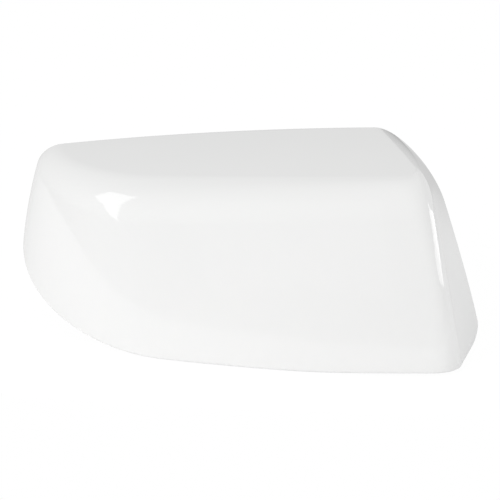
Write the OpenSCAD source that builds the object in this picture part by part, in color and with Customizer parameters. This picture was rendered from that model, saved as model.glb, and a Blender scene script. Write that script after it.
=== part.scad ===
// Wing mirror cover for the left-hand door mirror, moulded in one piece.
// X points outboard, Y points rearwards to the mirror glass, Z points up, all in millimetres.
// The rear rim lies in one plane. The origin is the middle of the main locating pin's free length.

/* [Show] */
// Which sub-part to draw

/* [Wall] */
// Thickness of the moulded wall
wall_t = 2.5; // [1.8:0.1:4]

/* [Lower plan line] */
// Inboard end of the lower plan line at the rear rim
low_in_x = -111.5; // [-140:0.5:-90]
// Outboard end of the lower plan line at the rear rim
low_out_x = 123.5; // [100:0.5:150]
// Sharp outboard front corner of the lower plan line, across
low_corner_x = 120; // [95:0.5:145]
// Sharp outboard front corner of the lower plan line, forwards
low_corner_y = -72; // [-90:0.5:-60]
// Sharp inboard front corner of the lower plan line, forwards
low_nose_y = -53; // [-70:0.5:-42]
// Run of the inboard rounding along the lower front
low_lead = 84; // [55:1:110]
// Leg of the outboard rounding on the lower line
low_round = 12; // [9:0.5:25]

/* [Upper plan line] */
// Inboard end of the sharp upper line at the rear rim
top_in_x = -98.5; // [-125:0.5:-80]
// Outboard end of the sharp upper line at the rear rim
top_out_x = 92; // [75:0.5:120]
// Sharp outboard front corner of the upper line, across
top_corner_x = 104.5; // [85:0.5:130]
// Sharp outboard front corner of the upper line, forwards
top_corner_y = -64.5; // [-85:0.5:-50]
// Sharp inboard front corner of the upper line, forwards
top_nose_y = -54; // [-70:0.5:-35]
// Run of the inboard rounding along the upper front
top_lead = 63.5; // [45:1:100]
// Leg of the outboard rounding on the upper line
top_round = 15; // [9:0.5:25]

/* [Front and end walls] */
// Slant of the inboard end, from the rim to its sharp corner
nose_slant = 8.5; // [2:0.5:15]
// How far the front bows forwards in the middle
front_bow = 12.7; // [5:0.1:16]
// Curve of the front wall from the lower edge to the top, where 1 is straight
front_lean = 2.2; // [1.2:0.05:2.6]
// Curve of the outboard end wall from the lower edge to the top, where 1 is straight
end_lean = 1.15; // [1:0.05:2.2]

/* [Top wall] */
// Height of the top wall at the rear rim, above the middle of the lower edge
top_height = 96; // [80:0.5:120]
// Fall of the top wall from the rear rim to the front
top_fall = 10.8; // [4:0.2:18]
// Extra fall of the top wall at the front from its crown
top_crown = 5; // [0:0.2:10]
// Rise of the top wall towards the outboard end, per 100 mm
top_tilt = 9; // [3:0.2:12]
// Fall of the top wall on both sides from its crown, per 100 mm squared
side_crown = 2.9; // [0:0.1:6]

/* [Shoulder rounding] */
// Depth of the rounding on the top wall at the inboard end
round_in = 10.5; // [8:0.5:22]
// Depth of the rounding on the top wall along the front
round_front = 17; // [8:0.5:22]
// Depth of the rounding on the top wall at the outboard front corner, across
corner_in = 4.5; // [2:0.5:10]
// Depth of that rounding, from front to rear
corner_back = 9.5; // [5:0.5:16]
// Depth of the rounding on the top wall at the outboard end of the rim
round_out = 17.5; // [8:0.5:25]
// Height of the rounding on the inboard end
drop_in = 8.5; // [6:0.5:18]
// Height of the rounding on the front
drop_front = 15.3; // [8:0.5:25]
// Height of the rounding at the outboard front corner
drop_corner = 14; // [8:0.5:22]
// Height of the sloped shoulder at the outboard end of the rim
drop_out = 32; // [15:0.5:45]
// Fullness of the front shoulder, where 0.55 is a round one and less is nearer to a chamfer
full_front = 0.58; // [0.3:0.01:0.7]
// Fullness of the shoulder at the outboard front corner
full_corner = 0.5; // [0.3:0.01:0.7]
// Fullness of the shoulder at the outboard end of the rim
full_out = 0.3; // [0.25:0.01:0.7]

/* [Lower edge] */
// Height to which the lower edge sweeps up at the inboard end
sweep_rise = 41.3; // [20:0.5:60]
// Where the sweep starts, across
sweep_start = -22; // [-50:1:20]
// Roundness of the sweep, where 2 is a quarter ellipse
sweep_round = 1.9; // [1.5:0.05:2.6]
// Rise of the lower edge towards the outboard front corner
corner_rise = 1.6; // [0:0.1:4]
// Height of the rounding at the outboard rear corner of the lower edge
heel_rise = 5; // [1:0.5:12]
// Length of that rounding
heel_run = 23; // [10:0.5:35]

/* [Locating pins] */
// Radius of the pins
pin_r = 3; // [2:0.25:4]
// Radius of the boss that a pin stands on
boss_r = 4.5; // [3.5:0.25:6]
// Length of the slope from the boss to the pin
shoulder = 1.5; // [1:0.25:3]
// Free cylindrical length of the pins
pin_free = 14; // [8:1:25]
// Height of the boss over the wall's inner skin, its slope included
web_run = 9; // [6:0.5:15]
// Thickness of the webs round the boss
web_t = 1.6; // [1:0.1:2.5]
// Main pin, across
pin_x = 46; // [20:1:70]
// Main pin, height above the lower edge
pin_z = 46; // [30:1:60]
// Second pin, across
pin2_x = -42; // [-60:1:-20]
// Second pin, height above the lower edge
pin2_z = 56; // [40:1:65]

/* [Snap hooks] */
// Width of a snap hook
hook_w = 11; // [6:0.5:16]
// Length of a snap hook from root to tip
hook_len = 22; // [14:1:30]
// Gap between a hook's arm and the wall
hook_gap = 3; // [2:0.25:5]
// Thickness of a hook's arm
hook_t = 2; // [1.5:0.25:3]
// Height of a hook's barb
barb_h = 2.2; // [1:0.2:3]

/* [Hidden] */
// Samples along the four stretches of the plan line and up the three stretches of a section
n_plan = [24, 14, 16, 11];
n_rise = [9, 12, 7];
nose_full = 0.56;
corner_full = 0.6;
plan_low = [[low_in_x, 0], [low_in_x + nose_slant, low_nose_y], [low_corner_x, low_corner_y], [low_out_x, 0],
  low_lead, low_round];
plan_top = [[top_in_x, 0], [top_in_x + nose_slant, top_nose_y], [top_corner_x, top_corner_y], [top_out_x, 0],
  top_lead, top_round];
plan_ring = [[top_in_x + round_in, 0], [top_in_x + nose_slant + round_in, top_nose_y + round_front],
  [top_corner_x - corner_in, top_corner_y + corner_back], [top_out_x - round_out, 0],
  top_lead - round_in, top_round * 0.4];

function ease(t) = t * t * (3 - 2 * t);
function unit(v) = v / norm(v);
function clamp(t, lo, hi) = min(hi, max(lo, t));

// A soft corner at q between a and b: a cubic curve that leaves along both legs
function soft(a, q, b, t, k) = q + (a - q) * (pow(1 - t, 3) + 3 * pow(1 - t, 2) * t * (1 - k))
  + (b - q) * (pow(t, 3) + 3 * t * t * (1 - t) * (1 - k));

// The plan line: inboard rounding, straight front, outboard rounding, outboard end
function plan(line, s) =
  let (a = line[0], q = line[1], f = line[2], e = line[3],
    d = unit(f - q), g = unit(e - f),
    f0 = q + d * line[4], f1 = f - d * line[5], f2 = f + g * line[5])
  s <= 1 ? soft(a, q, f0, s, nose_full) :
  s <= 2 ? f0 + (f1 - f0) * (s - 1) :
  s <= 3 ? soft(f1, f, f2, s - 2, corner_full) : f2 + (e - f2) * (s - 3);

// The bow: points in front of the rim move forwards, most in the middle of the width
function bowed(p) = [p[0], p[1] - front_bow * (1 - pow(p[0] / 115, 2)) * clamp(-p[1] / 60, 0, 1.3)];
function low(s) = bowed(plan(plan_low, s));
function top(s) = bowed(plan(plan_top, s));
function ring(s) = bowed(plan(plan_ring, s));

// Height of the top wall over a point of the plan
function roof(p) = let (q = -p[1] / 80, u = p[0] / 100)
  top_height - top_fall * q - top_crown * q * q + top_tilt * u - side_crown * u * u;
function roof_normal(p) = unit([-top_tilt / 100 + 2 * side_crown * p[0] / 10000,
  -top_fall / 80 + 2 * top_crown * p[1] / 6400, 1]);

// Quarter of a superellipse, used for the sweep and the heel of the lower edge
function lift(t, m) = 1 - pow(1 - pow(clamp(t, 0, 1), m), 1 / m);
function edge_z(s) = let (b = low(s))
  sweep_rise * lift((sweep_start - b[0]) / (sweep_start - low_in_x), sweep_round)
  + corner_rise * ease(clamp((b[0] - 40) / 75, 0, 1)) * ease(clamp((-b[1] - 15) / 50, 0, 1))
  + (s > 2 ? heel_rise * lift(1 + b[1] / heel_run, 1.9) : 0);

// Blends from the inboard end to the front, and from the front to the outboard end
function to_front(s) = ease(clamp(s, 0, 1));
function to_end(s) = ease(clamp(s - 2, 0, 1));
function three(a, b, c, s) = a + (b - a) * to_front(s) + (c - b) * to_end(s);
function to_rim(a, b, s) = (b - a) * pow(clamp(s - 3, 0, 1), 1.4);

// The wall at height z: the lower line leans towards the upper line
function side(s, z) = let (lean = three(front_lean, front_lean, end_lean, s))
  low(s) + (top(s) - low(s)) * pow(clamp(z / roof(top(s)), 0, 1.2), lean);

// A point of the outer skin: v 0 to 1 is the wall, 1 to 2 the shoulder, 2 to 3 the top wall
function skin(s, v) =
  let (c = top(s), d = ring(s), zc = roof(c),
    h = three(drop_in, drop_front, drop_corner, s) + to_rim(drop_corner, drop_out, s))
  v <= 1 ? let (z = edge_z(s) + v * (zc - h - edge_z(s)), w = side(s, z)) [w[0], w[1], z] :
  v <= 2 ? let (k = three(full_front, full_front, full_corner, s) + to_rim(full_corner, full_out, s), t = v - 1,
      down = pow(1 - t, 3) + 3 * pow(1 - t, 2) * t * (1 - k),
      across = pow(t, 3) + 3 * t * t * (1 - t) * (1 - k),
      z = zc - down * h, w = side(s, z), q = c + across * (d - c))
    [w[0] + q[0] - c[0], w[1] + q[1] - c[1], z + roof(q) - zc] :
  let (x0 = ring(0)[0] + 3, x1 = ring(4)[0] - 3, xe = (x0 + (x1 - x0) * count(s) + rear_x(s, x0, x1)) / 2,
    t = v - 2, p = [d[0] + t * (xe - d[0]), d[1] * (1 - t)])
  [p[0], p[1], roof(p)];

// Rear end of a top wall line: evenly spread, mixed with straight back from the shoulder
function rear_x(s, x0, x1) = s <= 1 ? x0 + (ring(1)[0] - x0) * s :
  s <= 2 ? ring(s)[0] : ring(2)[0] + (x1 - ring(2)[0]) * (s <= 3 ? (s - 2) * n_plan[2] : n_plan[2] + (s - 3) * n_plan[3])
    / (n_plan[2] + n_plan[3]);
function count(s) = let (n = n_plan, all = n[0] + n[1] + n[2] + n[3])
  (s <= 1 ? s * n[0] : s <= 2 ? n[0] + (s - 1) * n[1] : s <= 3 ? n[0] + n[1] + (s - 2) * n[2] :
    n[0] + n[1] + n[2] + (s - 3) * n[3]) / all;

// The samples close up towards the heel, where the lower edge turns up
plan_steps = [for (k = [0 : 3]) each [for (i = [0 : n_plan[k] - 1]) k + (k == 3 ? sin(90 * i / n_plan[k]) : i / n_plan[k])], 4];
rise_steps = [for (k = [0 : 2]) each [for (i = [0 : n_rise[k] - 1]) k + i / n_rise[k]], 3];
cols = len(plan_steps);
rows = len(rise_steps);
outer = [for (v = rise_steps) [for (s = plan_steps) skin(s, v)]];

// The inner skin lies one wall thickness inside, and stays in the rim plane along the rim
function out_dir(j, i) = let (p = outer[j][i], s = plan_steps[i], v = rise_steps[j],
    a = outer[j][min(i + 1, cols - 1)] - outer[j][max(i - 1, 0)],
    b = outer[min(j + 1, rows - 1)][i] - outer[max(j - 1, 0)][i],
    n = v >= 2 ? roof_normal(p) : unit(cross(a, b)))
  (i == 0 || i == cols - 1 || j == rows - 1) ? unit([n[0], 0, n[2]]) : n;
inner = [for (j = [0 : rows - 1]) [for (i = [0 : cols - 1]) let (p = outer[j][i], q = p - wall_t * out_dir(j, i))
  [q[0], min(q[1], 0.4 * p[1]), q[2]]]];

// Where the wall's outer skin has a given x (k = 0) or y (k = 1) at a height, found by halving
function find_s(k, goal, z, lo, hi, n = 20) = let (m = (lo + hi) / 2, up = side(hi, z)[k] > side(lo, z)[k])
  n == 0 ? m : (side(m, z)[k] < goal) == up ? find_s(k, goal, z, m, hi, n - 1) : find_s(k, goal, z, lo, m, n - 1);
function front_y(x, z) = side(find_s(0, x, z, 0, 3), z)[1];

pin_root = [pin_x, front_y(pin_x, pin_z) + wall_t / 2, pin_z];
pin2_root = [pin2_x, front_y(pin2_x, pin2_z) + wall_t / 2, pin2_z];
origin = pin_root + [0, wall_t / 2 + web_run + pin_free / 2, 0];

// Closed wall between the two skins, with a strip round its whole edge
module shell() {
  n = rows * cols;
  function id(k, j, i) = k * n + j * cols + i;
  half = cols / 2;
  faces = [
    for (j = [0 : rows - 2], i = [0 : cols - 2], k = [0, 1])
      let (a = id(k, j, i), b = id(k, j, i + 1), c = id(k, j + 1, i + 1), d = id(k, j + 1, i),
        t = i < half ? [[a, b, d], [b, c, d]] : [[a, b, c], [a, c, d]])
      each [for (f = t) k == 1 ? f : [f[2], f[1], f[0]]],
    for (e = edge_loop()) let (p = e[0], q = e[1])
      each [[id(0, p[0], p[1]), id(0, q[0], q[1]), id(1, p[0], p[1])],
        [id(0, q[0], q[1]), id(1, q[0], q[1]), id(1, p[0], p[1])]]
  ];
  polyhedron(points = [for (g = [outer, inner], r = g) each r], faces = faces, convexity = 6);
}

// The grid's border as pairs of neighbours: lower edge, outboard rim, top rim, inboard rim
function edge_loop() = [
  for (i = [0 : cols - 2]) [[0, i], [0, i + 1]],
  for (j = [0 : rows - 2]) [[j, cols - 1], [j + 1, cols - 1]],
  for (i = [cols - 1 : -1 : 1]) [[rows - 1, i], [rows - 1, i - 1]],
  for (j = [rows - 1 : -1 : 1]) [[j, 0], [j - 1, 0]]
];

// Puts a profile drawn as [along, off the wall] at a point of the skin
module seat(p, along, off) {
  w = cross(along, off);
  multmatrix([[along[0], off[0], w[0], p[0]], [along[1], off[1], w[1], p[1]], [along[2], off[2], w[2], p[2]]])
    children();
}

// Snap hook: a root block on the wall, an arm along the wall and a barb at its tip
module hook() {
  a = wall_t / 2;
  b = wall_t + hook_gap;
  c = b + hook_t;
  linear_extrude(height = hook_w, center = true)
    polygon([[0, a], [hook_t + 1, a], [hook_t + 2, b], [hook_len, b], [hook_len, c - 0.4],
      [hook_len - 5, c + barb_h], [hook_len - 5.6, c + barb_h], [hook_len - 6, c], [1, c], [0, c - 1]]);
}

// Hook under the top wall, its tip just inside the rear rim
module top_hook(x) {
  y = -hook_len - 1.5;
  p = [x, y, roof([x, y])];
  n = roof_normal(p);
  off = -unit([0, n[1], n[2]]);
  seat(p, unit([0, -off[2], off[1]]), off) hook();
}

// Hook on an end wall at height z, between the plan positions lo and hi, its tip just inside the rear rim
module side_hook(lo, hi, z) {
  root = side(find_s(1, -hook_len - 1.5, z, lo, hi), z);
  tip = side(find_s(1, -1.5, z, lo, hi), z);
  over = side(find_s(1, -hook_len - 1.5, z + 1, lo, hi), z + 1);
  along = unit([tip[0] - root[0], tip[1] - root[1], 0]);
  n = unit(cross(along, [over[0] - root[0], over[1] - root[1], 1]));
  seat([root[0], root[1], z], along, n[0] * root[0] > 0 ? -n : n) hook();
}

// Hook on the front wall that points down to the lower edge, which it stays above
module low_hook(s) {
  z = edge_z(s) + hook_len + 3;
  p = side(s, z);
  a = side(s + 0.02, z) - side(s - 0.02, z);
  b = side(s, z + 1) - side(s, z - 1);
  down = -unit([b[0], b[1], 2]);
  n = unit(cross([a[0], a[1], 0], [b[0], b[1], 2]));
  seat([p[0], p[1], z], down, -n) hook();
}

// Locating pin on a boss with a sloped shoulder, with a tapered tip and four webs whose feet follow the wall
module pin(root) {
  base = wall_t / 2 + web_run;
  foot = boss_r + 3;
  translate(root) rotate([-90, 0, 0]) {
    cylinder(h = base - shoulder, r = boss_r, $fn = 32);
    translate([0, 0, base - shoulder]) cylinder(h = shoulder, r1 = boss_r, r2 = pin_r, $fn = 32);
    translate([0, 0, base]) cylinder(h = pin_free, r = pin_r, $fn = 32);
    translate([0, 0, base + pin_free]) cylinder(h = 1.5, r1 = pin_r, r2 = pin_r - 1, $fn = 32);
  }
  for (d = [[1, 0, 0], [-1, 0, 0], [0, 0, 1], [0, 0, -1]])
    let (y = front_y(root[0] + foot * d[0], root[2] + foot * d[2]) + wall_t / 2 - root[1])
    seat(root, [0, 1, 0], d)
      linear_extrude(height = web_t, center = true)
        polygon([[0, 0], [y, foot], [y + wall_t / 2 + 1, foot], [base - shoulder - 0.5, boss_r - 0.2],
          [base - shoulder - 0.5, 0]]);
}

module mirror_cover() {
  color([0.93, 0.93, 0.92]) translate(-origin) {
    shell();
    for (x = [-58, 0, 56]) top_hook(x);
    side_hook(3, 4, 40);
    side_hook(0, 1, 68);
    for (s = [0.86, 1.34, 1.82]) low_hook(s);
    pin(pin_root);
    pin(pin2_root);
  }
}

mirror_cover();

echo(second_pin = pin2_root + [0, wall_t / 2 + web_run + pin_free / 2, 0] - origin, origin = origin);
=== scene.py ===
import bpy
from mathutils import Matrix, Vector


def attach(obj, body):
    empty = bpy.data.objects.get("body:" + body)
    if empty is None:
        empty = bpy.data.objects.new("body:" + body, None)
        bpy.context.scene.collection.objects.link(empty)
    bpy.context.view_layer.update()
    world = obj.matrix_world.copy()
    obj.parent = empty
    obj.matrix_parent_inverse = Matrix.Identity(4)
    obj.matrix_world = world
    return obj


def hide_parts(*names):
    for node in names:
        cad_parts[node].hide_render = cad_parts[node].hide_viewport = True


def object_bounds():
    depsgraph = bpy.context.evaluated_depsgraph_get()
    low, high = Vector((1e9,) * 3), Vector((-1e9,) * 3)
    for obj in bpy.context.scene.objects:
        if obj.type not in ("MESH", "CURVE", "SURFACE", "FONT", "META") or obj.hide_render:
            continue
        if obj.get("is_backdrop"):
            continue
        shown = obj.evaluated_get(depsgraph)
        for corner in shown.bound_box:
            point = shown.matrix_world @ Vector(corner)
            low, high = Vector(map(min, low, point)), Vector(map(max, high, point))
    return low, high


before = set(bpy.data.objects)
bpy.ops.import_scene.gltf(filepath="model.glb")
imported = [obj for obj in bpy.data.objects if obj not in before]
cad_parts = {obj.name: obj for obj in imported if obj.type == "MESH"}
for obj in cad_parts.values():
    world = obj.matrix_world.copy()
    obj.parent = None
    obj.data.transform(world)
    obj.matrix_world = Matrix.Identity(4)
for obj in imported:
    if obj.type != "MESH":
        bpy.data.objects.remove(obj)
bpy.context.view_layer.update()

import math

import bpy
import numpy as np

# Cover, outer and inner skin
# The real piece is one injection moulding of the front and top of a door mirror housing, about 2.5 mm thick,
# sprayed glossy white outside. Its open rear rim and lower edge fit round the housing.
MM = 0.001
REAR = np.array([0.0, 1.0, 0.0])

# Places are in millimetres from the rim's plane and the middle of the lower edge. The frame's origin is the
# middle of the main pin, given here.
PIN_CENTRE = np.array([46.0, -57.5882, 46.0])

# The wall, the radius of its rounded edge, how far from the edge the skins make room for it, and its steps
WALL, EDGE_ROUND, EDGE_REACH, EDGE_STEPS = 2.5, 0.55, 5.0, 4

# Plan lines of the lower edge, of the sharp corner between wall and top, and of the ring where the shoulder
# runs out on the top: both ends at the rim, both sharp front corners, and the runs of the two roundings
LOW = dict(inner=(-111.5, 0.0), nose=(-103.0, -53.0), corner=(120.0, -72.0), outer=(123.5, 0.0),
           lead=84.0, leg=12.0)
TOP = dict(inner=(-98.5, 0.0), nose=(-90.0, -54.0), corner=(104.5, -64.5), outer=(92.0, 0.0),
           lead=63.5, leg=15.0)
RING = dict(inner=(-88.0, 0.0), nose=(-79.5, -37.0), corner=(100.0, -55.0), outer=(74.5, 0.0),
            lead=53.0, leg=11.0)
NOSE_FULL, CORNER_FULL = 0.56, 0.6

# Bow of the front: its size in the middle, half its width, and the depth at which it is whole, up to a limit
FRONT_BOW, BOW_HALF_WIDTH, BOW_DEPTH, BOW_LIMIT = 12.7, 115.0, 60.0, 1.3

# Top wall: its height at the rim, its fall and crown over a depth, and its rise and crown over a span
TOP_HEIGHT, TOP_FALL, TOP_CROWN, TOP_TILT, SIDE_CROWN = 96.0, 10.8, 5.0, 9.0, 2.9
TOP_DEPTH, TOP_SPAN = 80.0, 100.0

# Powers of the wall's curve from the lower edge to the top, and the furthest that they are followed
FRONT_LEAN, END_LEAN, LEAN_LIMIT = 2.2, 1.15, 1.2

# Lower edge: the sweep up to the nose, the slight rise to the outboard front corner, and the turned-up heel
SWEEP_RISE, SWEEP_START, EDGE_POWER = 41.3, -22.0, 1.9
CORNER_RISE, CORNER_ACROSS, CORNER_FORWARDS = 1.6, (40.0, 115.0), (15.0, 65.0)
HEEL_RISE, HEEL_RUN = 5.0, 23.0

# Shoulder at the nose, the front, the outboard corner and the rim: its height, its fullness, and two factors
# that make it softer and wider
DROP, FULL = (8.5, 15.3, 14.0, 32.0), (0.58, 0.58, 0.56, 0.48)
SOFTEN, WIDEN = (1.0, 1.0, 1.05, 1.157), (1.0, 1.0, 1.12, 1.12)
RIM_POWER = 1.4

# The fine grid stands this far inside the solid's coarser facets
GRID_ALLOWANCE = 0.015

# The inner skin keeps at least this share of the outer skin's distance from the rim
INNER_SHARE = 0.4

# Lines over the top end this far in from the ring's ends, spaced at the rim as in a grid of these four parts
RIM_INSET, RIM_PARTS = 3.0, (24, 14, 16, 11)

# Columns of the grid in the four stretches of the plan line, and rows in the three of a section
PLAN_COLUMNS, SECTION_ROWS = (84, 36, 84, 46), (84, 40, 24)


def ramp(value, low, high):
    """Goes from 0 at low to 1 at high with level ends: three times the share's square less twice its cube."""
    t = np.clip((value - low) / (high - low), 0, 1)
    return t * t * (3 - 2 * t)


def unit(v):
    """Each vector divided by its length."""
    return v / np.maximum(np.linalg.norm(v, axis=-1, keepdims=True), 1e-12)


def lift(t, power):
    """Quarter of a superellipse that rises from 0 to 1, level at first and upright at last."""
    return 1 - (1 - np.clip(t, 0, 1) ** power) ** (1 / power)


def soft_weights(t, full):
    """Weights of the two legs of a soft corner: a cubic curve whose handles are full times the legs."""
    return (1 - t) ** 3 + 3 * (1 - t) ** 2 * t * (1 - full), t ** 3 + 3 * t * t * (1 - t) * (1 - full)


def plan_line(line, s):
    """Plan of a skin line for s from 0 to 4: inboard rounding, straight front, outboard rounding, outboard
    end. The front is then bowed forwards by a parabola that fades out towards the rim."""
    inner, nose, corner, outer = (np.array(line[k]) for k in ("inner", "nose", "corner", "outer"))
    along, back = unit(corner - nose), unit(outer - corner)
    front_start, front_end = nose + along * line["lead"], corner - along * line["leg"]
    end_start = corner + back * line["leg"]
    s = s[:, None]
    a, b = soft_weights(np.clip(s, 0, 1), NOSE_FULL)
    p = nose + a * (inner - nose) + b * (front_start - nose)
    p = np.where(s > 1, front_start + (front_end - front_start) * (s - 1), p)
    a, b = soft_weights(np.clip(s - 2, 0, 1), CORNER_FULL)
    p = np.where(s > 2, corner + a * (front_end - corner) + b * (end_start - corner), p)
    p = np.where(s > 3, end_start + (outer - end_start) * (s - 3), p)
    x, y = p.T
    bow = FRONT_BOW * (1 - (x / BOW_HALF_WIDTH) ** 2) * np.clip(-y / BOW_DEPTH, 0, BOW_LIMIT)
    return np.stack([x, y - bow], 1)


def roof(x, y):
    """Height of the top wall: it falls forwards ever faster, rises outboard and is crowned across."""
    q, u = -y / TOP_DEPTH, x / TOP_SPAN
    return TOP_HEIGHT - TOP_FALL * q - TOP_CROWN * q ** 2 + TOP_TILT * u - SIDE_CROWN * u ** 2


def roof_normal(x, y):
    """Upward normal of the top wall, from the two slopes of its height."""
    slope_x = (TOP_TILT - 2 * SIDE_CROWN * x / TOP_SPAN) / TOP_SPAN
    slope_y = (TOP_FALL - 2 * TOP_CROWN * y / TOP_DEPTH) / TOP_DEPTH
    return unit(np.stack([-slope_x, -slope_y, np.ones_like(slope_x)], -1))


def wall_level(s, z):
    """Plan of the wall at height z: the lower line moves to the upper one by a power of the height."""
    low, top = plan_line(LOW, s), plan_line(TOP, s)
    lean = FRONT_LEAN + (END_LEAN - FRONT_LEAN) * ramp(s, 2, 3)
    share = np.clip(z / roof(top[:, 0], top[:, 1]), 0, LEAN_LIMIT) ** lean
    return low + (top - low) * share[..., None]


def lower_edge(s):
    """Height of the lower edge: it sweeps up inboard, rises a little to the outboard front corner, and turns
    up at the outboard rear corner."""
    x, y = plan_line(LOW, s).T
    sweep = SWEEP_RISE * lift((SWEEP_START - x) / (SWEEP_START - LOW["inner"][0]), EDGE_POWER)
    corner = CORNER_RISE * ramp(x, *CORNER_ACROSS) * ramp(-y, *CORNER_FORWARDS)
    heel = HEEL_RISE * lift(1 + y / HEEL_RUN, EDGE_POWER)
    return sweep + corner + np.where(s > 2, heel, 0)


def along_shoulder(s, sizes):
    """A size at the nose, the front, the outboard corner and the rim: smooth ramps between the first three,
    and a power of the way that starts slowly from the corner to the rim."""
    nose, front, corner, rim = sizes
    return (nose + (front - nose) * ramp(s, 0, 1) + (corner - front) * ramp(s, 2, 3)
            + (rim - corner) * np.clip(s - 3, 0, 1) ** RIM_POWER)


def rim_places(s, ring):
    """Where each line over the top wall ends at the rim: halfway between an even spacing and running straight
    back from the ring, with the lines beyond both ends of the front spread out to the rim's corners."""
    low, high = ring[0, 0] + RIM_INSET, ring[-1, 0] - RIM_INSET
    marks = np.cumsum((0,) + RIM_PARTS)
    even = low + (high - low) * np.interp(s, range(5), marks / marks[-1])
    first, second = np.interp([1, 2], s, ring[:, 0])
    tail = np.interp(s, [2, 3, 4], (marks[2:] - marks[2]) / (marks[-1] - marks[2]))
    straight = np.where(s <= 1, low + (first - low) * s, ring[:, 0])
    straight = np.where(s > 2, second + (high - second) * tail, straight)
    return (even + straight) / 2


def outer_skin(s, v):
    """Points of the outer skin on a grid: v 0 to 1 climbs the wall, 1 to 2 rounds the shoulder as a soft
    corner between wall and top, 2 to 3 runs back over the top wall to the rim."""
    climb, bend, run = np.split(v[:, None], np.searchsorted(v, [1, 2], side="right"))
    bend, run = bend - 1, run - 2
    top, ring, base = plan_line(TOP, s), plan_line(RING, s), lower_edge(s)
    crest = roof(top[:, 0], top[:, 1])
    soften = along_shoulder(s, SOFTEN)
    height = along_shoulder(s, DROP) * soften
    ring = top + (ring - top) * (soften * along_shoulder(s, WIDEN))[:, None]

    z = base + climb * (crest - height - base)
    wall = np.dstack([wall_level(s, z), z])

    down, across = soft_weights(bend, along_shoulder(s, FULL))
    drop = crest - down * height
    q = top + across[..., None] * (ring - top)
    shoulder = np.dstack([wall_level(s, drop) + q - top, drop + roof(q[..., 0], q[..., 1]) - crest])

    x, y = ring[:, 0] + run * (rim_places(s, ring) - ring[:, 0]), ring[:, 1] * (1 - run)
    return np.concatenate([wall, shoulder, np.dstack([x, y, roof(x, y)])])


def skin_normals(grid, v):
    """Outward normals: cross product of the grid's two directions, and the roof's own slope on the top."""
    normal = unit(np.cross(np.gradient(grid, axis=1), np.gradient(grid, axis=0)))
    return np.where((v >= 2)[:, None, None], roof_normal(grid[..., 0], grid[..., 1]), normal)


def inner_skin(raw, out):
    """The outer skin moved in by one wall, but nowhere nearer to the rim's plane than a share of its way."""
    inside = raw - WALL * out
    inside[..., 1] = np.minimum(inside[..., 1], INNER_SHARE * raw[..., 1])
    return inside


def shrink_to_edge(skin, normal, room):
    """Slides the skin's points back from the rim and the lower edge along the skin, by room at the edge
    and less with the square of the distance, so that a rounded edge can take the place."""
    along = unit(REAR - normal * (normal @ REAR)[..., None])
    near = np.clip(1 - np.abs(skin[..., 1:2]) / EDGE_REACH, 0, 1) ** 2
    up = unit(skin[1] - skin[0])
    gone = np.linalg.norm(skin - skin[0], axis=-1, keepdims=True)
    low = np.clip(1 - gone / EDGE_REACH, 0, 1) ** 2
    return skin - room * near * along + room * low * up


def border(grid):
    """The grid's edge as one loop: lower edge, outboard rim, top rim, inboard rim."""
    return np.concatenate([grid[0, :-1], grid[:-1, -1], grid[-1, :0:-1], grid[:0:-1, 0]])


def rounded_edge(edge, side, turn, facing, lead):
    """Rings of a quarter circle over one half of the wall's edge: they start at a skin's border, move towards
    the middle of the wall by one less the cosine and outwards by the sine, and stop at the rim's plane."""
    turn = turn[:, None, None]
    rings = edge + EDGE_ROUND * (side * (1 - np.cos(turn)) * facing + np.sin(turn) * lead)
    rings[..., 1] = np.minimum(rings[..., 1], 0)
    return rings


def closed_shell(name, s, v):
    """Closed mesh of the moulding: outer skin, inner skin one wall inside, and a rounded edge between."""
    raw = outer_skin(s, v)
    normal = skin_normals(raw, v)
    at_rim = np.zeros(raw.shape[:2], bool)
    at_rim[:, 0] = at_rim[:, -1] = at_rim[-1] = True
    out = np.where(at_rim[..., None], unit(normal * (1 - REAR)), normal)
    outer = shrink_to_edge(raw, normal, EDGE_ROUND) - GRID_ALLOWANCE * out
    inner = shrink_to_edge(inner_skin(raw, out), normal, EDGE_ROUND)

    facing = border(out)
    down = border(np.broadcast_to(unit(raw[0] - raw[1]), raw.shape))
    lead = np.where(border(at_rim)[:, None], unit(REAR - facing * (facing @ REAR)[:, None]), down)
    quarter = np.linspace(0, math.pi / 2, EDGE_STEPS + 1)
    outer_half = rounded_edge(border(outer), -1, quarter[1:], facing, lead)
    inner_half = rounded_edge(border(inner), 1, quarter[:0:-1], facing, lead)

    grid = np.arange(at_rim.size).reshape(at_rim.shape)
    quads = np.stack([grid[:-1, :-1], grid[:-1, 1:], grid[1:, 1:], grid[1:, :-1]], -1).reshape(-1, 4)
    place = border(grid)
    rings = 2 * grid.size + np.arange(2 * EDGE_STEPS * len(place)).reshape(-1, len(place))
    rings = np.vstack([place, rings, place + grid.size])
    ahead = np.roll(rings, -1, 1)
    edge_quads = np.stack([rings[:-1], rings[1:], ahead[1:], ahead[:-1]], -1).reshape(-1, 4)
    faces = np.concatenate([quads, quads[:, ::-1] + grid.size, edge_quads])

    groups = [group.reshape(-1, 3) for group in (outer, inner, outer_half, inner_half)]
    hidden = np.repeat([0.0, 1.0, 0.0, 1.0], [len(group) for group in groups])
    return mesh_object(name, (np.concatenate(groups) - PIN_CENTRE) * MM, faces.tolist(), hidden)


def mesh_object(name, points, faces, hidden):
    """A smooth-shaded mesh object at the origin from its points, its faces, and how far each point is on the
    hidden side, from 0 to 1."""
    mesh = bpy.data.meshes.new(name)
    mesh.from_pydata(points.tolist(), [], faces)
    mesh.validate()
    mesh.polygons.foreach_set("use_smooth", np.ones(len(mesh.polygons), bool))
    mesh.update()
    mesh.attributes.new("inside", "FLOAT", "POINT").data.foreach_set("value", hidden)
    piece = bpy.data.objects.new(name, mesh)
    bpy.context.collection.objects.link(piece)
    return piece


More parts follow.
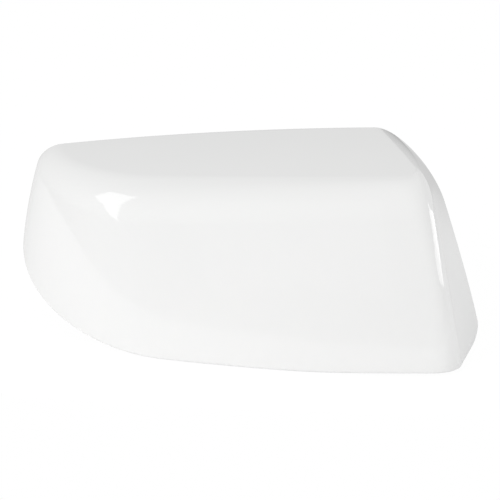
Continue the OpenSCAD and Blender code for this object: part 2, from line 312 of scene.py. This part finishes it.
def stretches(counts):
    """Grid parameters: each stretch from k to k + 1 cut into its own number of equal parts."""
    parts = [k + np.arange(n) / n for k, n in enumerate(counts)]
    return np.concatenate(parts + [[len(counts)]])


# Columns lie closer together towards the outboard rim, by a sine
s_steps = stretches(PLAN_COLUMNS)
s_steps = np.where(s_steps > 3, 3 + np.sin((s_steps - 3) * math.pi / 2), s_steps)
v_steps = stretches(SECTION_ROWS)
cover = closed_shell("cover", s_steps, v_steps)
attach(cover, "root")
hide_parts("mirror_cover")

# White paint
# Glossy white top coat sprayed on the outside. It has a very fine orange peel, slow waves of the moulding
# under it and a few dust specks. The hidden side gets only overspray, so it is greyer and duller.
TOP_COAT_THIN, TOP_COAT_THICK = (0.874, 0.876, 0.872, 1), (0.886, 0.886, 0.882, 1)
OVERSPRAY_THIN, OVERSPRAY_THICK = (0.76, 0.76, 0.75, 1), (0.82, 0.82, 0.81, 1)
DUST = (0.72, 0.71, 0.69, 1)

# Cells of each pattern along a metre
MIST_SCALE, GRAIN_SCALE, DUST_SCALE, PEEL_SCALE, WAVE_SCALE = 9.0, 260.0, 42.0, 420.0, 34.0

# Roughness of the coat, what mist and grain add to it, and what the hidden side adds, plain and by the grain
POLISH, MIST_HAZE, GRAIN_HAZE, INSIDE_HAZE, INSIDE_GRAIN_HAZE = 0.035, 0.02, 0.01, 0.22, 0.2

# How strongly the coat reflects, where 0.5 is common varnish
REFLECTION = 0.33

# Heights of the relief in millimetres
PEEL_HEIGHT, WAVE_HEIGHT, OVERSPRAY_HEIGHT = 0.002, 0.02, 0.02

# Ranges in which the mist thickens the top coat, and mist and grain the overspray, in which a speck fades at
# its border, and in which chance gives a cell its speck, which then half covers the coat
COAT_RANGE, OVERSPRAY_RANGE = (0.35, 0.65), (0.42, 0.60)
SPECK_BORDER, SPECK_CHANCE, SPECK_COVER = (0.02, 0.035), (0.90, 0.92), 0.5


class Value:
    """A shader socket that is written in sums: an operator adds the Math node that works it out."""

    def __init__(self, tree, socket=None):
        self.tree = tree
        self.socket = socket

    def __getitem__(self, output):
        """Another output of the same node, by its name or its number."""
        return Value(self.tree, self.socket.node.outputs[output])

    def node(self, kind, settings=None, **inputs):
        """Adds any node: its settings first, then the values or links of its sockets. An input is named as in
        Blender with _ for a space, or i and its number."""
        made = self.tree.nodes.new(kind)
        for key, value in (settings or {}).items():
            setattr(made, key, value)
        for key, value in inputs.items():
            name = key.replace("_", " ")
            socket = made.inputs[int(name[1:])] if name[1:].isdigit() else made.inputs[name]
            if isinstance(value, Value):
                value.into(socket)
            else:
                socket.default_value = value
        return Value(self.tree, made.outputs[0])

    def into(self, socket):
        """Links this value to a socket."""
        self.tree.links.new(self.socket, socket)

    def math(self, operation, *others):
        """A Math node on this value and the others, in their order."""
        inputs = {"i" + str(k): value for k, value in enumerate((self,) + others)}
        return self.node("ShaderNodeMath", {"operation": operation}, **inputs)

    def between(self, low, high):
        """Goes smoothly from 0 at low to 1 at high."""
        return self.node("ShaderNodeMapRange", {"interpolation_type": "SMOOTHSTEP"}, Value=self, From_Min=low,
                         From_Max=high)

    def blend(self, first, second):
        """Colour between two others: the first where this value is 0, the second where it is 1."""
        return self.node("ShaderNodeMix", {"data_type": "RGBA"}, i0=self, i6=first, i7=second)[2]

    def __add__(self, other):
        return self.math("ADD", other)

    def __sub__(self, other):
        return self.math("SUBTRACT", other)

    def __rsub__(self, other):
        return self.node("ShaderNodeMath", {"operation": "SUBTRACT"}, i0=other, i1=self)

    def __mul__(self, other):
        return self.math("MULTIPLY", other)

    __radd__ = __add__
    __rmul__ = __mul__


white = bpy.data.materials.new("white_paint")
white.use_nodes = True
coat = white.node_tree.nodes["Principled BSDF"]
coat.inputs["Specular IOR Level"].default_value = REFLECTION
graph = Value(white.node_tree)
place = graph.node("ShaderNodeTexCoord")["Object"]
inside = graph.node("ShaderNodeAttribute", {"attribute_name": "inside"})["Fac"]
mist = graph.node("ShaderNodeTexNoise", None, Vector=place, Scale=MIST_SCALE, Detail=2.0)
grain = graph.node("ShaderNodeTexNoise", None, Vector=place, Scale=GRAIN_SCALE, Detail=3.0)
dust = graph.node("ShaderNodeTexVoronoi", None, Vector=place, Scale=DUST_SCALE)
chance = graph.node("ShaderNodeTexWhiteNoise", None, Vector=dust["Position"])
speck = (1 - dust["Distance"].between(*SPECK_BORDER)) * chance.between(*SPECK_CHANCE)
outside_white = mist.between(*COAT_RANGE).blend(TOP_COAT_THIN, TOP_COAT_THICK)
outside_white = (speck * SPECK_COVER).blend(outside_white, DUST)
thickness = (grain * 0.5 + mist * 0.5).between(*OVERSPRAY_RANGE)
inside_white = thickness.blend(OVERSPRAY_THIN, OVERSPRAY_THICK)
inside.blend(outside_white, inside_white).into(coat.inputs["Base Color"])
haze = MIST_HAZE * mist + GRAIN_HAZE * grain + inside * (INSIDE_HAZE + INSIDE_GRAIN_HAZE * grain)
(POLISH + haze).into(coat.inputs["Roughness"])
peel = graph.node("ShaderNodeTexNoise", None, Vector=place, Scale=PEEL_SCALE, Detail=1.0)
wave = graph.node("ShaderNodeTexNoise", None, Vector=place, Scale=WAVE_SCALE, Detail=0.0)
height = peel * PEEL_HEIGHT + wave * WAVE_HEIGHT + inside * grain * OVERSPRAY_HEIGHT
relief = graph.node("ShaderNodeBump", None, Strength=1.0, Distance=MM, Height=height)
relief.into(coat.inputs["Normal"])
cover.data.materials.append(white)

# Snap hooks
# Eight tongues moulded on the inner skin grip the housing: three under the top wall, one at each end, and
# three on the front wall that point down. Each is a root block, a free arm and a barb with a sloped nose.
HOOK_WIDTH, HOOK_LENGTH, HOOK_GAP, HOOK_ARM, BARB = 11.0, 22.0, 3.0, 2.0, 2.2

# Root block: the depth in the wall where it starts, how far its foot flares back and reaches forwards, its
# length at the neck, the height of the neck, and its length at the arm
ROOT_START, ROOT_FLARE, ROOT_FOOT, ROOT_NECK, NECK_RISE, ROOT_LENGTH = 1.3, 0.7, 4.4, 3.3, 0.9, 3.6

# Barb and ends: length of the sloped nose, flat and step behind it, bevels of the tip and of the root's back
NOSE_RUN, BARB_FLAT, BARB_STEP, TIP_BEVEL, BACK_BEVEL = 5.0, 0.6, 0.4, 0.4, 1.0
HOOK_ROUND, HOOK_EDGE = 0.45, 0.4

# Distances of the tips from the rim and from the lower edge
RIM_ROOM, LOW_ROOM = 1.5, 3.0
TOP_HOOKS_X = (-58.0, 0.0, 56.0)
OUTER_HOOK_Z, INNER_HOOK_Z = 40.0, 68.0
FRONT_HOOKS_S = (0.86, 1.34, 1.82)

# Largest share of a side that a rounding takes, points along a plan line that is searched, and the step
# between places close by
SIDE_SHARE, SEARCH_POINTS, CLOSE_BY = 0.45, 600, 0.02


def rounded_outline(corners, radius, steps=5):
    """Closed outline whose corners are arcs of some points each: a corner is left one tangent length before
    it and met again one after it, and the points between lie on the circle that touches both sides."""
    p = np.array(corners, float)
    before, after = np.roll(p, 1, 0) - p, np.roll(p, -1, 0) - p
    room = SIDE_SHARE * np.minimum(np.linalg.norm(before, axis=1), np.linalg.norm(after, axis=1))
    before, after = unit(before), unit(after)
    half = np.arccos(np.clip((before * after).sum(1), -1, 1)) / 2
    leg = np.minimum(radius / np.tan(half), room)
    centre = p + unit(before + after) * (leg / np.cos(half))[:, None]
    first, last = p + before * leg[:, None] - centre, p + after * leg[:, None] - centre
    t = np.linspace(0, 1, steps)[None, :, None]
    turn = (math.pi - 2 * half)[:, None, None]
    arc = (np.sin((1 - t) * turn) * first[:, None] + np.sin(t * turn) * last[:, None]) / np.sin(turn)
    return (centre[:, None] + arc).reshape(-1, 2)


def carried_across(outline, width, edge, steps=4):
    """Rings of a flat outline carried across a width, as [along, off, across]: near both sides the outline
    shrinks along its own normals by a quarter circle, which rounds the long edges."""
    ahead = np.roll(outline, -1, 0) - np.roll(outline, 1, 0)
    away = unit(np.stack([ahead[:, 1], -ahead[:, 0]], 1))
    turn = np.linspace(0, math.pi / 2, steps)
    inset = edge * (1 - np.sin(turn))
    place = width / 2 - edge * (1 - np.cos(turn))
    inset, place = np.concatenate([inset, inset[::-1]]), np.concatenate([-place, place[::-1]])
    flat = outline - inset[:, None, None] * away
    return np.concatenate([flat, np.broadcast_to(place[:, None, None], flat.shape[:2] + (1,))], 2)


def seated(rings, root, along, off):
    """Moves points from [along, off, across] to the place of a piece that stands on the wall at root."""
    return rings @ np.stack([along, off, np.cross(along, off)]) + root


def ring_faces(rings, count, start):
    """Faces of a closed body: four-cornered ones between following rings, and one over each end."""
    n = np.arange(count)
    rows = start + np.arange(rings - 1)[:, None] * count
    ahead = (n + 1) % count
    sides = np.stack([rows + n, rows + ahead, rows + count + ahead, rows + count + n], -1)
    ends = [(start + n[::-1]).tolist(), (start + (rings - 1) * count + n).tolist()]
    return sides.reshape(-1, 4).tolist() + ends


def moulded_bodies(name, bodies):
    """One object of several closed bodies, each an array of rings of points in millimetres."""
    faces, start = [], 0
    for rings in bodies:
        faces += ring_faces(rings.shape[0], rings.shape[1], start)
        start += rings.shape[0] * rings.shape[1]
    points = (np.concatenate([rings.reshape(-1, 3) for rings in bodies]) - PIN_CENTRE) * MM
    piece = mesh_object(name, points, faces, np.ones(len(points)))
    piece.modifiers.new("even_shading", "WEIGHTED_NORMAL").weight = 80
    return piece


def wall_at_depth(y, z, low, high):
    """Point of the outer skin at height z whose depth is y, between two places of the plan line."""
    line = wall_level(np.linspace(low, high, SEARCH_POINTS), z)
    order = np.argsort(line[:, 1])
    return np.array([np.interp(y, line[order, 1], line[order, 0]), y, z])


def top_hook(x):
    """Root and directions of a hook under the top wall: back along the roof's slope, and down from it."""
    y = -HOOK_LENGTH - RIM_ROOM
    off = -unit(roof_normal(x, y) * np.array([0, 1.0, 1.0]))
    return np.array([x, y, roof(x, y)]), np.array([0, -off[2], off[1]]), off


def end_hook(low, high, z):
    """Root and directions of a hook on an end wall: along the chord to the rim, and square in from it."""
    depth = -HOOK_LENGTH - RIM_ROOM
    root, tip = wall_at_depth(depth, z, low, high), wall_at_depth(-RIM_ROOM, z, low, high)
    along = unit(tip - root)
    away = unit(np.cross(along, wall_at_depth(depth, z + 1, low, high) - root))
    return root, along, away if away[0] * root[0] < 0 else -away


def front_hook(s):
    """Root and directions of a hook on the front wall: down the wall, and square in from it, both from the
    differences between places close by."""
    near = np.array([s - CLOSE_BY, s, s + CLOSE_BY])
    z = lower_edge(near)[1] + HOOK_LENGTH + LOW_ROOM
    side, above, below = wall_level(near, z), wall_level(near[1:2], z + 1), wall_level(near[1:2], z - 1)
    rise = np.append(above[0] - below[0], 2.0)
    across = np.append(side[2] - side[0], 0.0)
    return np.append(side[1], z), -unit(rise), -unit(np.cross(across, rise))


arm_off = WALL + HOOK_GAP
arm_back = arm_off + HOOK_ARM
barb_top = arm_back + BARB
nose_end = HOOK_LENGTH - NOSE_RUN
hook_outline = rounded_outline(
    [[-ROOT_FLARE, ROOT_START], [ROOT_FOOT, ROOT_START], [ROOT_FOOT, WALL], [ROOT_NECK, WALL + NECK_RISE],
     [ROOT_LENGTH, arm_off], [HOOK_LENGTH, arm_off], [HOOK_LENGTH, arm_back - TIP_BEVEL],
     [nose_end, barb_top], [nose_end - BARB_FLAT, barb_top], [nose_end - BARB_FLAT - BARB_STEP, arm_back],
     [BACK_BEVEL, arm_back], [0, arm_back - BACK_BEVEL], [0, WALL + ROOT_FLARE], [-ROOT_FLARE, WALL]],
    HOOK_ROUND)
hook_rings = carried_across(hook_outline, HOOK_WIDTH, HOOK_EDGE)
hook_places = [top_hook(x) for x in TOP_HOOKS_X]
hook_places += [end_hook(3, 4, OUTER_HOOK_Z), end_hook(0, 1, INNER_HOOK_Z)]
hook_places += [front_hook(s) for s in FRONT_HOOKS_S]
hooks = moulded_bodies("snap_hooks", [seated(hook_rings, *place) for place in hook_places])
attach(hooks, "root")
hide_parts("mirror_cover")
hooks.data.materials.append(white)

# Locating pins
# Two round pins moulded on the front wall's inside enter the housing's sockets. Each has a tapered tip, a
# sloped shoulder, a boss with a small fillet at its foot, and four webs that hold it upright on the wall.
PIN_PLACES = ((46.0, 46.0), (-42.0, 56.0))
PIN_RADIUS, PIN_HALF, TIP_LENGTH, TIP_TAPER, PIN_ROUND = 3.0, 7.0, 1.5, 1.0, 0.35
BOSS_RADIUS, BOSS_HEIGHT, SLOPE, FOOT_FILLET, FOOT_SINK = 4.5, 9.0, 1.5, 0.8, 0.9
WEB, WEB_REACH, WEB_BELOW, WEB_TOE, WEB_IN_BOSS, WEB_ROUND, WEB_EDGE = 1.6, 3.0, 0.5, 1.0, 0.2, 0.3, 0.25

# A body's ends close on a tiny circle round its axis, and a profile starts well inside the wall
TINY, FAR_IN = 0.05, -30.0
PIN_SIDES, FILLET_STEPS = 64, 6

# The patch of wall that is measured round a pin: half its width, its lines each way, and the points of a line
PATCH, PATCH_LINES, LINE_POINTS = 9, 7, 3000


def quadratic(u, w):
    """The six terms of a quadratic in two lengths: one, both, both squares and the product."""
    return np.stack([u * 0 + 1, u, w, u * u, u * w, w * w], -1)


def inner_skin_near(x, z):
    """Depth of the inner skin round a point of the front wall, and of the outer skin at it: a quadratic
    fitted to nearby points of the outer skin, moved in by the wall measured along the depth."""
    step = np.linspace(-PATCH, PATCH, PATCH_LINES)
    lines = [wall_level(np.linspace(0, 3, LINE_POINTS), z + dz) for dz in step]
    depth = np.array([np.interp(x + step, line[:, 0], line[:, 1]) for line in lines])
    dz, dx = np.meshgrid(step, step, indexing="ij")
    k = np.linalg.lstsq(quadratic(dx, dz).reshape(-1, 6), depth.reshape(-1), rcond=None)[0]
    wall_in_depth = WALL * math.sqrt(1 + k[1] ** 2 + k[2] ** 2)
    return lambda u, w: quadratic(u, w) @ k + wall_in_depth, float(k[0])


def pin_body(x, z):
    """A profile turned round the pin's axis; its foot leaves the inner skin in a quarter-circle fillet."""
    inner, outer_depth = inner_skin_near(x, z)
    middle = outer_depth + WALL + BOSS_HEIGHT + PIN_HALF
    tip = PIN_HALF + TIP_LENGTH
    corners = [[0, FAR_IN], [BOSS_RADIUS, FAR_IN], [BOSS_RADIUS, -PIN_HALF - SLOPE],
               [PIN_RADIUS, -PIN_HALF], [PIN_RADIUS, PIN_HALF], [PIN_RADIUS - TIP_TAPER, tip], [0, tip]]
    roundings = rounded_outline(corners, PIN_ROUND).reshape(len(corners), -1, 2)
    profile = np.concatenate([roundings[2:6].reshape(-1, 2), [[TINY, tip]]])
    turn = np.linspace(0, math.pi / 2, FILLET_STEPS)
    foot_radius = BOSS_RADIUS + FOOT_FILLET * (1 - np.sin(turn))
    foot_radius = np.concatenate([[TINY, foot_radius[0]], foot_radius])
    foot_height = np.concatenate([[-FOOT_SINK, -FOOT_SINK], FOOT_FILLET * (1 - np.cos(turn))])
    angle = np.linspace(0, 2 * math.pi, PIN_SIDES, endpoint=False)
    foot_x, foot_z = foot_radius[:, None] * np.cos(angle), foot_radius[:, None] * np.sin(angle)
    foot = np.stack([foot_x, inner(foot_x, foot_z) + foot_height[:, None] - middle, foot_z], -1)
    radius, depth = profile[:, :1], profile[:, 1:]
    stem = np.stack([radius * np.cos(angle), depth + 0 * angle, radius * np.sin(angle)], -1)
    return np.concatenate([foot, stem])[:, ::-1] + np.array([x, middle, z]), middle


def web_body(x, z, middle, direction):
    """A web: a four-sided outline from the boss down to the wall, carried across its thickness."""
    inner, _ = inner_skin_near(x, z)
    reach = BOSS_RADIUS + WEB_REACH
    foot = float(inner(reach * direction[0], reach * direction[2])) - middle
    skin = float(inner(0.0, 0.0)) - middle
    top = -PIN_HALF - SLOPE - WEB_BELOW
    outline = rounded_outline([[top, 0], [top, BOSS_RADIUS - WEB_IN_BOSS], [foot + WEB_TOE, reach],
                               [foot - WALL / 2, reach], [skin - WALL / 2, 0]], WEB_ROUND)
    rings = carried_across(outline, WEB, WEB_EDGE)
    return seated(rings, np.array([x, middle, z]), REAR, np.array(direction, float))


bodies = []
for x, z in PIN_PLACES:
    stem, middle = pin_body(x, z)
    bodies.append(stem)
    for direction in ((1, 0, 0), (-1, 0, 0), (0, 0, 1), (0, 0, -1)):
        bodies.append(web_body(x, z, middle, direction))
pins = moulded_bodies("locating_pins", bodies)
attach(pins, "root")
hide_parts("mirror_cover")
pins.data.materials.append(white)

# Round table top
# The cover stands near the front of a round white table, whose near edge gives the brighter band low on the
# cover. Seen straight, the table is plain white with a faint shadow. Only reflections show that its far
# outboard part lies in shade.
TABLE_RADIUS, TABLE_X, TABLE_Y, TABLE_SIDES, TABLE_ROUGHNESS = 0.7, -0.076, 0.6226, 240, 0.9
TABLE_WHITE, SHADED, PLAIN_WHITE = (0.88, 0.88, 0.88, 1), (0.54, 0.54, 0.54, 1), (1, 1, 1, 1)

# Strength of the glow, its share in what the camera sees, and the part of that in a reflection and in shade
GLOW, GLOW_SHARE, GLOSS_SHARE, SHADE_SHARE = 1.02, 0.95, 0.3, 0.7

# Distances from the table's middle between which the shade sets in, rearwards and outboard
SHADE_DEPTH, SHADE_ACROSS = (-0.50, -0.12), (0.02, 0.12)

lowest = min(corner[2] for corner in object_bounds())
bpy.ops.mesh.primitive_circle_add(vertices=TABLE_SIDES, radius=TABLE_RADIUS, fill_type="NGON",
                                  location=(TABLE_X, TABLE_Y, lowest))
floor = bpy.context.object
floor.name = "table_top"
floor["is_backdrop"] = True
table_white = bpy.data.materials.new("table_white")
table_white.use_nodes = True
lacquer = table_white.node_tree.nodes["Principled BSDF"]
lacquer.inputs["Base Color"].default_value = TABLE_WHITE
lacquer.inputs["Roughness"].default_value = TABLE_ROUGHNESS
lacquer.inputs["Specular IOR Level"].default_value = 0.0
graph = Value(table_white.node_tree)
rays = graph.node("ShaderNodeLightPath")
spot = graph.node("ShaderNodeSeparateXYZ", None, Vector=graph.node("ShaderNodeTexCoord")["Object"])
shade = spot["Y"].between(*SHADE_DEPTH) * spot["X"].between(*SHADE_ACROSS) * rays["Is Glossy Ray"]
seen = rays["Is Camera Ray"] + rays["Is Glossy Ray"] * GLOSS_SHARE + rays["Is Transmission Ray"]
seen = (seen + shade * SHADE_SHARE) * GLOW_SHARE
glow = graph.node("ShaderNodeEmission", None, Color=shade.blend(PLAIN_WHITE, SHADED), Strength=GLOW)
shown = graph.node("ShaderNodeMixShader", None, i0=seen, i1=Value(graph.tree, lacquer.outputs[0]), i2=glow)
shown.into(table_white.node_tree.nodes["Material Output"].inputs["Surface"])
floor.data.materials.append(table_white)

# Studio room
# White walls far away fill the picture behind the cover and light it evenly from all sides.
ROOM_LIGHT = (0.68, 0.68, 0.68, 1)
world = bpy.data.worlds.new("studio")
bpy.context.scene.world = world
world.use_nodes = True
sky = world.node_tree.nodes["Background"]
sky.inputs["Color"].default_value = ROOM_LIGHT
graph = Value(world.node_tree)
rays = graph.node("ShaderNodeLightPath")
seen = rays["Is Camera Ray"] + rays["Is Glossy Ray"] + rays["Is Transmission Ray"]
walls = graph.node("ShaderNodeBackground", None, Color=PLAIN_WHITE, Strength=1.0)
shown = graph.node("ShaderNodeMixShader", None, i0=seen, i1=Value(graph.tree, sky.outputs[0]), i2=walls)
shown.into(world.node_tree.nodes["World Output"].inputs["Surface"])

# Dark curtain and two reflecting boards
# A black curtain all round keeps the gloss dark. On it a grey board stands behind the inboard side and a
# paler one behind the outboard end, both with soft edges. Only reflections show them.
LOOK = np.array([-0.031, 0.0076, 0.004])
CURTAIN_RADIUS = 1.6
BLACK, INBOARD_GREY, OUTBOARD_GREY = (0, 0, 0, 1), (0.70, 0.70, 0.70, 1), (0.85, 0.85, 0.85, 1)

# Bearings in radians from the front, positive outboard, and heights as a share of the radius, between
# which the boards fade in and out
INBOARD_FADE = (-2.45, -1.50)
OUTBOARD_START, OUTBOARD_END = (1.00, 2.60), (2.82, 3.30)
BOARD_FOOT, BOARD_HEAD = (-0.68, -0.60), (0.74, 0.98)


def only_in_gloss(thing):
    """Leaves a piece of the studio to reflections alone: it is unseen, and gives and takes no light."""
    thing.visible_camera = thing.visible_diffuse = thing.visible_shadow = False
    thing.visible_transmission = thing.visible_volume_scatter = False
    thing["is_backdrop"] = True


def glowing(name):
    """A material that only glows, and the graph and shader that give it its colour."""
    made = bpy.data.materials.new(name)
    made.use_nodes = True
    made.node_tree.nodes.remove(made.node_tree.nodes["Principled BSDF"])
    graph = Value(made.node_tree)
    glow = graph.node("ShaderNodeEmission", None, Color=PLAIN_WHITE, Strength=1.0)
    glow.into(made.node_tree.nodes["Material Output"].inputs["Surface"])
    return made, graph, glow.socket.node


bpy.ops.mesh.primitive_uv_sphere_add(segments=96, ring_count=48, radius=CURTAIN_RADIUS,
                                     location=tuple(LOOK))
curtain = bpy.context.object
curtain.name = "curtain"
only_in_gloss(curtain)
cloth, graph, glow = glowing("curtain_cloth")
cloth.cycles.emission_sampling = "NONE"
spot = graph.node("ShaderNodeSeparateXYZ", None, Vector=graph.node("ShaderNodeTexCoord")["Object"])
bearing = spot["X"].math("ARCTAN2", 0 - spot["Y"])
climb = spot["Z"] * (1 / CURTAIN_RADIUS)
upright = climb.between(*BOARD_FOOT) * (1 - climb.between(*BOARD_HEAD))
inboard = (1 - bearing.between(*INBOARD_FADE)) * upright
outboard = bearing.between(*OUTBOARD_START) * (1 - bearing.between(*OUTBOARD_END)) * upright
outboard.blend(inboard.blend(BLACK, INBOARD_GREY), OUTBOARD_GREY).into(glow.inputs["Color"])
curtain.data.materials.append(cloth)

# Softboxes
# Two bright fabric windows whose outlines show in the gloss: a three-cornered one high on the inboard side,
# and a slim curved one beside the outboard end. A pale board in front shows faintly too.
CARD_DISTANCE = 1.2


def towards(azimuth, elevation):
    """Unit vectors at degrees of azimuth, from the front towards outboard, and of elevation."""
    turn, climb = np.radians(azimuth), np.radians(elevation)
    return np.stack([np.sin(turn) * np.cos(climb), -np.cos(turn) * np.cos(climb), np.sin(climb)], -1)


def softbox(name, outline, strength):
    """A card whose corners are given as azimuth and elevation, as the cover sees them."""
    corners = LOOK + CARD_DISTANCE * towards(*np.array(outline, float).T)
    mesh = bpy.data.meshes.new(name)
    mesh.from_pydata(corners.tolist(), [], [list(range(len(corners)))])
    card = bpy.data.objects.new(name, mesh)
    bpy.context.collection.objects.link(card)
    only_in_gloss(card)
    fabric, graph, glow = glowing(name + "_fabric")
    glow.inputs["Strength"].default_value = strength
    mesh.materials.append(fabric)


softbox("inboard_window", [(-82, 31), (-90, 46), (-81, 49), (-70, 52), (-66, 43), (-63, 35), (-56, 13),
                           (-56.6, -11), (-60, -1), (-69, 21)], 3.2)
softbox("outboard_window", [(112, 15.5), (125, 3), (141, -3), (150, -6.5), (156, -9), (141, -6.5), (112, -4),
                            (87, -1), (90.5, 2), (100, 3.5), (107, 4), (112, 5)], 4.0)
softbox("front_board", [(-45, 55), (-21, 52.5), (3.5, 42), (8, -4), (9, -12), (4, -11), (-7, -10.5),
                        (-16, -12), (-23, -13), (-23, -9)], 0.25)

# Soft lamps
# Two large round lamps in white cloth stand in front of the cover and beside its outboard end.
LAMP_SIZE, LAMP_DISTANCE = 0.7, 1.5


def lamp(name, azimuth, elevation, power):
    """A round lamp that faces the cover from a direction and stays out of the reflections."""
    light = bpy.data.lights.new(name, "AREA")
    light.shape = "DISK"
    light.size = LAMP_SIZE
    light.energy = power
    stand = bpy.data.objects.new(name, light)
    bpy.context.collection.objects.link(stand)
    stand.location = LOOK + LAMP_DISTANCE * towards(azimuth, elevation)
    stand.rotation_euler = (math.radians(90 - elevation), 0, math.radians(azimuth))
    stand.visible_glossy = False


lamp("front_lamp", -30, 20, 8.8)
lamp("outboard_lamp", 85, 4, 4.2)

# Camera
# It looks down a little, from slightly outboard of straight ahead, through a long lens.
AZIMUTH, ELEVATION, DISTANCE = 11.28, 15.59, 0.9978
AIM, LENS, SENSOR = np.array([15.16, -36.48, 45.85]), 149.4, 36
lens = bpy.data.cameras.new("camera")
lens.lens = LENS
lens.sensor_width = SENSOR
camera = bpy.data.objects.new("camera", lens)
bpy.context.collection.objects.link(camera)
camera.location = (AIM - PIN_CENTRE) * MM + DISTANCE * towards(AZIMUTH, ELEVATION)
camera.rotation_euler = (math.radians(90 - ELEVATION), 0, math.radians(AZIMUTH))
bpy.context.scene.camera = camera
bpy.context.scene.view_settings.view_transform = "Standard"
